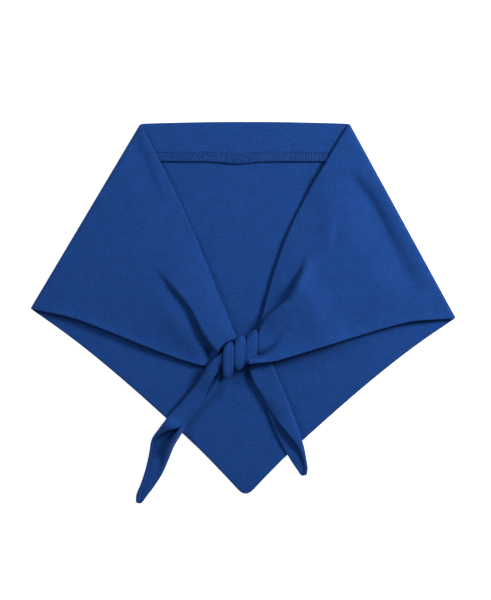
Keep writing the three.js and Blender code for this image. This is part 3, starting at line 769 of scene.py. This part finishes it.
def knot_path(angle):
    """The middle and the width of the wound band at an angle of its winding, in degrees."""
    turns = math.floor(angle / 360)
    phase = math.radians(angle - 360 * turns)
    behind = max(-math.sin(phase), 0)
    row = turns + ((1 + math.cos(phase)) / 2 if phase > math.pi else 0)
    length, shift, wide = turn_values(row, "length shift width")
    middle = turn_place(row) + (turn_place(2) - turn_place(1)) * max(row - 2, 0) + flat(0, shift)
    reach = (TURN_LENGTH * length - TURN_THICKNESS) / 2
    height = (CORE_THICKNESS + TURN_THICKNESS) / 2 + CLEARANCE
    spot = np.array([
        middle[0],
        middle[1] + reach * soft_power(math.cos(phase), PATH_POWER),
        KNOT_MIDDLE + height * soft_power(math.sin(phase), PATH_POWER),
    ])
    drawn = wide * (1 - BEHIND_NARROWING * behind) * (1 - END_NARROWING * math.cos(phase) ** 4)
    return spot, (TURN_PITCH - TURN_GAP) * drawn


def knot_ring(angle, spot, width, turn):
    """The wound band's section at an angle of its winding, with the line between its layers."""
    ahead = knot_path(angle + 1)[0] - knot_path(angle - 1)[0]
    radial = unit(np.array([0.0, ahead[2], -ahead[1]]))
    slant, cap, ply, depth = turn_values((angle - 90) / 360, "slant cap ply depth")
    across = width / 2 * soft_power(np.cos(turn), BAND_POWER)
    share = across / width * 2
    groove = depth * np.exp(-(((share - ply) / PLY_WIDTH) ** 2)) * np.clip(np.sin(turn), 0, 1)
    lift = TURN_THICKNESS / 2 * soft_power(np.sin(turn), BAND_POWER) - groove
    over = math.cos(math.radians(angle))
    up = across * slant - cap * over * abs(over) * share**2
    return spot + radial * lift[:, None] + np.column_stack([across, up, np.zeros(len(turn))])


def ring_faces(count, sides):
    """The numbers of a tube's places, ring by ring, and the faces between its rings."""
    grid = np.arange(count * sides).reshape(count, sides)
    ahead = np.roll(grid, -1, axis=1)
    faces = np.stack([grid[:-1], ahead[:-1], ahead[1:], grid[1:]], axis=-1)
    return grid, faces.reshape(-1, 4).tolist()


def close_tube(name, rings, spots):
    """A closed body from rings of equal length, with a pole at each end."""
    grid, faces = ring_faces(*rings.shape[:2])
    places = np.vstack([rings.reshape(-1, 3), rings[0].mean(0), rings[-1].mean(0)])
    spots = np.vstack([spots.reshape(-1, 2), spots[0].mean(0), spots[-1].mean(0)])
    for ring, pole in ((grid[0], grid.size), (grid[-1], grid.size + 1)):
        faces += [[a, b, pole] for a, b in zip(ring.tolist(), np.roll(ring, -1).tolist())]
    return mesh_object(name, places, faces, spots)


def level_at(sink, drop):
    """The height of an end's lower layer: in the knot, on the back or, past its edge, on the
    surface."""
    in_knot, on_back, on_surface = (
        level + WALL / 2 for level in (CORE_BOTTOM, WALL + CLEARANCE, REST_GAP)
    )
    return mix(mix(in_knot, on_back, min(sink, 1)), on_surface, drop)


def over_back(spots, edge):
    """Whether the back, over its lower edge, lies under any of the places."""
    level = np.interp(spots[:, 0], edge[:, 0], edge[:, 1])
    return bool((spots[:, 1] > level).any())


def folded_section(centre, angle, width, front, pitch, level, lip, spread):
    """One section of an end of the cloth, folded double, with its flat lengths. lip is how high
    the lower layer curls up along its open side."""
    radius = pitch / 2
    outer = radius + WALL / 2
    to_open = direction(angle)
    upper_end = max(width * front, outer + CLEARANCE)
    lower_end = max(width, outer + WALL)
    droop = DROOP * pitch * eased_in(front, DROOP_FRONT)
    droop = min(droop, max(pitch - WALL - CLEARANCE / 2, 0))
    upper = [
        (mix(upper_end, outer, t), pitch - droop * (1 - t) ** 3)
        for t in np.linspace(0, 1, UPPER_STEPS)[:-1]
    ]
    turns = np.radians(90 + 180 * np.linspace(0, 1, FOLD_STEPS))
    bend = [(outer + radius * math.cos(a), radius + radius * math.sin(a)) for a in turns]
    lower = [(mix(outer, lower_end, t), 0.0) for t in np.linspace(0, 1, LOWER_STEPS)[1:]]
    profile = np.array([*upper, *bend, *lower])
    curl = lip * np.exp(-(((profile[:, 0] / width - LIP_PLACE) / spread) ** 2))
    curl[: UPPER_STEPS + FOLD_STEPS - 1] = 0
    profile[:, 1] += curl
    spots = centre + to_open * (profile[:, :1] - width / 2)
    lengths = lengths_along(profile)
    lengths -= lengths[UPPER_STEPS + FOLD_STEPS // 2]
    return np.column_stack([spots, level + profile[:, 1]]), lengths


def tail_sections(rows, start, length, turn, count):
    """An end's sections from its table, on a line of the given length and direction."""
    ahead = direction(turn)
    aside = flat(-ahead[1], ahead[0])
    places = np.linspace(rows["along"][0], rows["along"][-1], count)

    def section_at(along, drop):
        by, width, angle, front, pitch, sink, lip = (
            read(rows, name, along) for name in TAIL_COLUMNS.split()[1:]
        )
        return folded_section(
            start + ahead * length * along + aside * length * by, angle, TAIL_WIDTH * width,
            front, TAIL_PITCH * pitch, level_at(sink, drop), lip,
            LIP_WIDTH * mix(LIP_SPREAD, 1, eased_in(along, LIP_ALONG)),
        )

    edge = lower_edge(EDGE_STEPS)
    crossing = max((a for a in places if over_back(section_at(a, 0)[0], edge)), default=0)
    grid, laid = [], []
    for along in places:
        drop = eased(((along - crossing) * length - WALL) / DROP_RUN)
        points, lengths = section_at(along, drop)
        grid.append(points)
        laid.append(np.column_stack([lengths, np.full(len(lengths), -length * along)]))
    return np.array(grid), np.array(laid)


def linear(colour):
    """An sRGB hex colour as a linear one with full alpha."""
    parts = [int(colour[i:i + 2], 16) / 255 for i in (1, 3, 5)]
    return (*[c / 12.92 if c <= 0.04045 else ((c + 0.055) / 1.055) ** 2.4 for c in parts], 1)


def add_node(tree, kind, links=(), **settings):
    """Adds a node. settings are its properties, or values of sockets where the name is none of
    its properties. links are (socket of this node, node, socket of that node)."""
    node = tree.nodes.new(kind)
    for name, value in settings.items():
        if hasattr(node, name):
            setattr(node, name, value)
        else:
            node.inputs[name.replace("_", " ")].default_value = value
    for socket, other, output in links:
        tree.links.new(other.outputs[output], node.inputs[socket])
    return node


# The patterns of the cloth and the thread: how many grains a metre has, their detail and their
# roughness.
NAP = (900.0, 3.0, 0.7)
DYE = (90.0, 4.0, 0.6)
# The noise for the painted light and shade of the knit's loops.
LOOP_LIGHT = (520.0, 2.0, 0.8)
TWIST = (2500.0, 2.0, 0.5)
# The noise for the thread's painted shade.
SUNK_SHADE = (420.0, 2.0, 0.5)


def add_noise(tree, source, output, scale, detail, roughness):
    return add_node(
        tree, "ShaderNodeTexNoise", [("Vector", source, output)],
        Scale=scale, Detail=detail, Roughness=roughness,
    )


def add_range(tree, noise, low, high, to_low, to_high):
    """Spreads a noise's values from low to high over another range."""
    return add_node(
        tree, "ShaderNodeMapRange", [("Value", noise, "Fac")],
        From_Min=low, From_Max=high, To_Min=to_low, To_Max=to_high,
    )


def add_tint(tree, share, low, high):
    """Mixes two sRGB hex colours by the result of a range."""
    tint = add_node(tree, "ShaderNodeMix", [("Factor", share, "Result")], data_type="RGBA")
    tint.inputs[6].default_value = linear(low)
    tint.inputs[7].default_value = linear(high)
    return tint


def new_material(name):
    """A material and its empty tree of nodes."""
    material = bpy.data.materials.new(name)
    material.use_nodes = True
    material.node_tree.nodes.clear()
    return material, material.node_tree


def add_shader(tree, colour, output, bump, **settings):
    """The surface's shader and the material's output."""
    shader = add_node(
        tree, "ShaderNodeBsdfPrincipled",
        [("Normal", bump, "Normal"), ("Base Color", colour, output)],
        Specular_IOR_Level=0.12, **settings,
    )
    add_node(tree, "ShaderNodeOutputMaterial", [("Surface", shader, "BSDF")])


def cloth_material():
    """Combed cotton double knit, dyed in the piece: matt, with fine wales that catch the light,
    a short nap that pales at grazing angles and a slightly uneven dye."""
    if CLOTH_NAME in bpy.data.materials:
        return bpy.data.materials[CLOTH_NAME]
    cloth = bpy.context.scene.neckerchief_cloth
    material, tree = new_material(CLOTH_NAME)
    spots = add_node(tree, "ShaderNodeUVMap", uv_map="cloth")
    # Such knits have about 9 wales in 10 mm. They are drawn a little coarser, so that they show.
    wale = cloth_length("wale_pitch")
    scaled = add_node(
        tree, "ShaderNodeMapping", [("Vector", spots, "UV")],
        Scale=(1000 / wale, 1000 / wale, 1),
    )
    # At a scale of pi / 10 a wave has one band in each unit.
    wales, courses = (
        add_node(
            tree, "ShaderNodeTexWave", [("Vector", scaled, "Vector")], wave_type="BANDS",
            bands_direction=across, Scale=math.pi / 10 * dense, Distortion=uneven, Detail=1.0,
        )
        for across, dense, uneven in (("X", 1, 1.2), ("Y", 1.25, 1.6))
    )
    loops = add_node(
        tree, "ShaderNodeMath", [(0, wales, "Fac"), (1, courses, "Fac")], operation="MULTIPLY",
    )
    nap = add_noise(tree, spots, "UV", *NAP)
    dye = add_noise(tree, spots, "UV", *DYE)
    grain = add_node(
        tree, "ShaderNodeMath", [(0, loops, "Value"), (1, nap, "Fac")], operation="ADD",
    )
    bump = add_node(
        tree, "ShaderNodeBump", [("Height", grain, "Value")], Strength=0.3, Distance=0.0003,
    )
    tint = add_tint(tree, add_range(tree, dye, 0.3, 0.7, 0.0, 1.0), cloth.shade, cloth.colour)
    # Painted light and shade of the knit's loops: pale tops and dark gaps put into the colour as
    # random noise, drawn about three times as coarse as they are.
    loop_light = add_range(tree, add_noise(tree, spots, "UV", *LOOP_LIGHT), 0.3, 0.7, 0.8, 1.2)
    loop_lit = add_node(
        tree, "ShaderNodeVectorMath", [(0, tint, 2), ("Scale", loop_light, "Result")],
        operation="SCALE",
    )
    add_shader(
        tree, loop_lit, "Vector", bump, Roughness=0.88, Sheen_Weight=0.1, Sheen_Roughness=0.5,
        Sheen_Tint=linear(cloth.nap),
    )
    return material


def thread_material():
    """Spun polyester sewing thread: a little brighter and shinier than the cloth."""
    cloth = bpy.context.scene.neckerchief_cloth
    material, tree = new_material("spun_thread")
    spots = add_node(tree, "ShaderNodeTexCoord")
    # The thread's twist is finer than the render shows, so it is drawn as fine noise.
    twist = add_noise(tree, spots, "Object", *TWIST)
    bump = add_node(
        tree, "ShaderNodeBump", [("Height", twist, "Fac")], Strength=0.3, Distance=0.0001,
    )
    # Painted shade: the thread sinks into the cloth unevenly, so some strokes are drawn darker, as
    # if they lay in its shade.
    sunk = add_range(tree, add_noise(tree, spots, "Object", *SUNK_SHADE), 0.4, 0.62, 0.0, 1.0)
    tint = add_tint(tree, sunk, cloth.thread_shade, cloth.thread)
    add_shader(tree, tint, 2, bump, Roughness=0.6)
    return material


def number_property(name, description, default, unit="NONE"):
    return bpy.props.FloatProperty(
        name=name, description=description, default=default, unit=unit,
        subtype="DISTANCE" if unit == "LENGTH" else "NONE",
    )


def colour_property(name, thing, default):
    return bpy.props.StringProperty(
        name=name, description=f"{thing}, as an sRGB hex colour", default=default,
    )


class NeckerchiefCloth(bpy.types.PropertyGroup):
    """The cloth's sizes and colours that a user would change."""

    hem_depth: number_property("Hem depth", "Depth of the turned hem", 0.0295, "LENGTH")
    pleat_depth: number_property("Pleat depth", "Overlap of a full pleat", 0.009, "LENGTH")
    puff: number_property("Puff", "How far the fronts stand up", 0.004, "LENGTH")
    wale_pitch: number_property("Wale pitch", "Distance between the knit's wales", 0.0013, "LENGTH")
    colour: colour_property("Colour", "The dyed cloth", "#123A79")
    shade: colour_property("Shade", "The dye's deeper patches", "#10356F")
    nap: colour_property("Nap", "The cloth's sheen at grazing angles", "#6E8FD0")
    thread: colour_property("Thread", "The sewing thread", "#133B7C")
    # Painted shade: the colour of thread strokes drawn as lying in the cloth's shade.
    thread_shade: colour_property("Thread shade", "Thread sunk into the cloth", "#0A2452")


class NeckerchiefStage(bpy.types.PropertyGroup):
    """The floor, the light and the camera."""

    floor_colour: colour_property("Floor", "The floor", "#BCBCBC")
    glow: number_property("Floor glow", "Light that the table gives from below", 0.8)
    key_power: number_property("Key light", "Power of the upper right light", 12.4, "POWER")
    fill_power: number_property("Fill light", "Power of the upper left light", 2.8, "POWER")
    sky: number_property("Sky", "Strength of the even light from all round", 0.3)


class NECKERCHIEF_OT_large_cloth(bpy.types.Operator):
    """Lays the back, folds its two sides over and turns the hem"""

    bl_idname = "neckerchief.large_cloth"
    bl_label = "Back, wings and hem"

    def execute(self, context):
        points, laid, (back_start, back_end) = large_cloth()
        normals = normals_of(points)
        names = (
            (("left_wing_cloth", "left_wing"), ("left_hem_cloth", "left_hem")),
            (("back_cloth", "back_panel"), ("neck_hem_cloth", "neck_hem")),
            (("right_wing_cloth", "right_wing"), ("right_hem_cloth", "right_hem")),
        )
        spans = (
            (0, back_start, True, False),
            (back_start, back_end - 1, False, False),
            (back_end - 1, len(points) - 1, False, True),
        )
        strips = ((slice(HEM_COLUMNS, None), False, True), (slice(HEM_COLUMNS + 1), True, False))
        for pieces, (first, last, *ends) in zip(names, spans):
            for (name, node), (columns, *sides) in zip(pieces, strips):
                part = slice(first, last + 1), columns
                piece = close_sheet(name, points[part], normals[part], laid[part], ends + sides)
                finish_sheet(piece, node)
        return {"FINISHED"}


class NECKERCHIEF_OT_knot(bpy.types.Operator):
    """Winds the knot's band three times round the cloth that runs through it"""

    bl_idname = "neckerchief.knot"
    bl_label = "Knot"

    def execute(self, context):
        angles = np.arange(KNOT_START, KNOT_END + 1, KNOT_STEP)
        path = [knot_path(angle) for angle in angles]
        lengths = lengths_along(np.array([spot for spot, _ in path]))
        turn = np.linspace(0, 2 * math.pi, KNOT_SIDES, endpoint=False)
        rings = [knot_ring(angle, *place, turn) for angle, place in zip(angles, path)]
        spots = [
            # The way round the band is about twice its width.
            np.column_stack([turn * width / 3, np.full(KNOT_SIDES, length)])
            for (_, width), length in zip(path, lengths)
        ]
        piece = close_tube("knot_cloth", np.array(rings), np.array(spots))
        finish_piece(piece, cloth_material())
        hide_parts("knot_wraps")
        return {"FINISHED"}


class NECKERCHIEF_OT_tails(bpy.types.Operator):
    """Folds the two ends and lays them down from the knot"""

    bl_idname = "neckerchief.tails"
    bl_label = "Ends"

    def execute(self, context):
        left_start = turn_place(0) + flat(-TURN_PITCH / 2 - CLEARANCE, 0)
        left = LEFT_TAIL, left_start, LEFT_TAIL_LENGTH, LEFT_TAIL_ANGLE, LEFT_TAIL_ROWS
        right_start = turn_place(2) + flat(0, RIGHT_TAIL_RISE)
        right = RIGHT_TAIL, right_start, RIGHT_TAIL_LENGTH, RIGHT_TAIL_ANGLE, RIGHT_TAIL_ROWS
        for name, node, end in (
            ("left_tail_cloth", "left_tail", left), ("right_tail_cloth", "right_tail", right),
        ):
            grid, laid = tail_sections(*end)
            piece = close_sheet(name, grid, normals_of(grid), laid, (True, True, True, True))
            finish_sheet(piece, node)
        return {"FINISHED"}


# One stroke of the covered edge: lengths along the hem, lengths in from its free edge and
# heights over the cloth.
STROKE = table(
    "along inward rise",
    (-0.1, -0.3, -1.3), (0, -0.35, -0.5), (0.1, 0.2, 0.12), (0.8, 2.4, 0.15), (1.5, 4.8, 0.15),
    (2, 6.6, 0.1), (2.1, 7.1, -0.5),
)
# One stitch of the needle's row, on the same measures.
DASH = table(
    "along inward rise",
    (-0.2, 7.3, -0.5), (0, 7.3, 0.1), (0.8, 7.3, 0.2), (1.6, 7.3, 0.1), (1.8, 7.3, -0.5),
)


class HemSeam:
    """The neck hem's surface as it lies, to sew on."""

    def __init__(self):
        rows = back_rows(BACK_ROWS)
        self.hem = np.array([row[0][: HEM_STEPS + 1] for row in rows])
        self.lengths = lengths_along(self.hem[:, 0])

    def spot(self, along, inward, rise):
        row = float(np.interp(along, self.lengths, np.arange(len(self.lengths))))
        low = min(int(row), len(self.hem) - 2)
        line = mix(self.hem[low], self.hem[low + 1], row - low)
        steps = lengths_along(line)
        place = np.array([np.interp(inward, steps, line[:, axis]) for axis in range(3)])
        outside = min(inward, 0) * unit(line[1] - line[0])
        return place + outside + np.array([0, 0, WALL / 2 + rise])


def thread_tube(path):
    """Places and faces of a closed thread along a path."""
    ahead = np.gradient(path, axis=0)
    ahead /= np.linalg.norm(ahead, axis=1, keepdims=True)
    aside = np.cross(ahead, THREAD_SKEW)
    aside /= np.linalg.norm(aside, axis=1, keepdims=True)
    over = np.cross(aside, ahead)
    turn = np.linspace(0, 2 * math.pi, THREAD_SIDES, endpoint=False)[:, None]
    rings = np.cos(turn) * aside[:, None] + np.sin(turn) * over[:, None]
    rings = path[:, None] + THREAD_RADIUS * rings
    grid, faces = ring_faces(len(path), THREAD_SIDES)
    return rings.reshape(-1, 3), faces + [grid[0][::-1].tolist(), grid[-1].tolist()]


class NECKERCHIEF_OT_hem_stitching(bpy.types.Operator):
    """Sews the neck hem's free edge down with a covered seam"""

    bl_idname = "neckerchief.hem_stitching"
    bl_label = "Hem stitching"

    def execute(self, context):
        seam = HemSeam()
        rng = np.random.default_rng(SEED)
        places, faces, count = [], [], 0
        for start in np.arange(STITCH_MARGIN, seam.lengths[-1] - STITCH_MARGIN, STITCH_PITCH):
            shift = rng.normal(0, STITCH_SHIFT)
            for stitch in (STROKE, DASH):
                points = zip(stitch["along"], stitch["inward"], stitch["rise"])
                path = [seam.spot(start + shift + along, *rest) for along, *rest in points]
                spots, sides = thread_tube(np.array(path))
                places.append(spots)
                faces += [[index + count for index in face] for face in sides]
                count += len(spots)
        piece = mesh_object("hem_stitching", np.vstack(places), faces)
        finish_piece(piece, thread_material())
        return {"FINISHED"}


# The lamps' places and sizes and the camera's place, in metres. The photograph shows 480 mm from
# top to bottom, seen straight from above. The lens is in the sensor's millimetres.
KEY_PLACE = (0.68, 0.38, 0.6)
KEY_SIZE = 0.28
FILL_PLACE = (-0.6, 0.4, 0.6)
FILL_SIZE = 0.3
FLOOR_SIZE = 6.0
CAMERA_PLACE = (0.0019, 0.0098, 2.0)
PICTURE_HEIGHT = 0.48
SENSOR_WIDTH = 36.0


class NECKERCHIEF_OT_stage(bpy.types.Operator):
    """Adds the floor, the studio light and the camera straight above"""

    bl_idname = "neckerchief.stage"
    bl_label = "Stage"

    def execute(self, context):
        stage = context.scene.neckerchief_stage
        bpy.ops.mesh.primitive_plane_add(size=FLOOR_SIZE, location=(0, 0, 0))
        floor = context.active_object
        floor.name = "floor"
        paper = bpy.data.materials.new("studio_paper")
        paper.use_nodes = True
        shader = paper.node_tree.nodes["Principled BSDF"]
        shader.inputs["Base Color"].default_value = linear(stage.floor_colour)
        shader.inputs["Roughness"].default_value = 0.9
        shader.inputs["Emission Color"].default_value = (1, 1, 1, 1)
        shader.inputs["Emission Strength"].default_value = stage.glow
        floor.data.materials.append(paper)
        self.add_light("key_light", KEY_PLACE, stage.key_power, KEY_SIZE)
        self.add_light("fill_light", FILL_PLACE, stage.fill_power, FILL_SIZE)
        self.add_sky(stage.sky)
        self.add_camera()
        context.scene.view_settings.view_transform = "Standard"
        return {"FINISHED"}

    def add_light(self, name, place, power, size):
        bpy.ops.object.light_add(type="AREA", location=place)
        light = bpy.context.active_object
        light.name = name
        light.data.energy = power
        light.data.size = size
        x, y, z = place
        light.rotation_euler = (0.0, -math.atan2(math.hypot(x, y), z), math.atan2(-y, -x))

    def add_sky(self, strength):
        world = bpy.data.worlds.get("World") or bpy.data.worlds.new("World")
        bpy.context.scene.world = world
        world.use_nodes = True
        sky = world.node_tree.nodes["Background"]
        sky.inputs["Color"].default_value = (1, 1, 1, 1)
        sky.inputs["Strength"].default_value = strength

    def add_camera(self):
        bpy.ops.object.camera_add(location=CAMERA_PLACE, rotation=(0, 0, 0))
        camera = bpy.context.active_object
        camera.name = "camera"
        camera.data.sensor_width = SENSOR_WIDTH
        camera.data.lens = SENSOR_WIDTH * CAMERA_PLACE[2] / PICTURE_HEIGHT
        camera.data.clip_end = 10.0
        bpy.context.scene.camera = camera


class NECKERCHIEF_PT_panel(bpy.types.Panel):
    """Lists the neckerchief's sizes and steps"""

    bl_idname = "NECKERCHIEF_PT_panel"
    bl_label = "Neckerchief"
    bl_space_type = "VIEW_3D"
    bl_region_type = "UI"
    bl_category = "Neckerchief"

    def draw(self, context):
        for group in (context.scene.neckerchief_cloth, context.scene.neckerchief_stage):
            for name in group.bl_rna.properties.keys():
                if name not in ("rna_type", "name"):
                    self.layout.prop(group, name)
        for operator in STEPS:
            self.layout.operator(operator.bl_idname)


STEPS = (
    NECKERCHIEF_OT_stage,
    NECKERCHIEF_OT_large_cloth,
    NECKERCHIEF_OT_knot,
    NECKERCHIEF_OT_tails,
    NECKERCHIEF_OT_hem_stitching,
)
CLASSES = (NeckerchiefCloth, NeckerchiefStage, *STEPS, NECKERCHIEF_PT_panel)


def register():
    for made in CLASSES:
        bpy.utils.register_class(made)
    bpy.types.Scene.neckerchief_cloth = bpy.props.PointerProperty(type=NeckerchiefCloth)
    bpy.types.Scene.neckerchief_stage = bpy.props.PointerProperty(type=NeckerchiefStage)


def unregister():
    del bpy.types.Scene.neckerchief_stage
    del bpy.types.Scene.neckerchief_cloth
    for made in reversed(CLASSES):
        bpy.utils.unregister_class(made)


def main():
    register()
    bpy.ops.neckerchief.stage()
    bpy.ops.neckerchief.large_cloth()
    bpy.ops.neckerchief.knot()
    bpy.ops.neckerchief.tails()
    bpy.ops.neckerchief.hem_stitching()


if __name__ == "__main__":
    main()
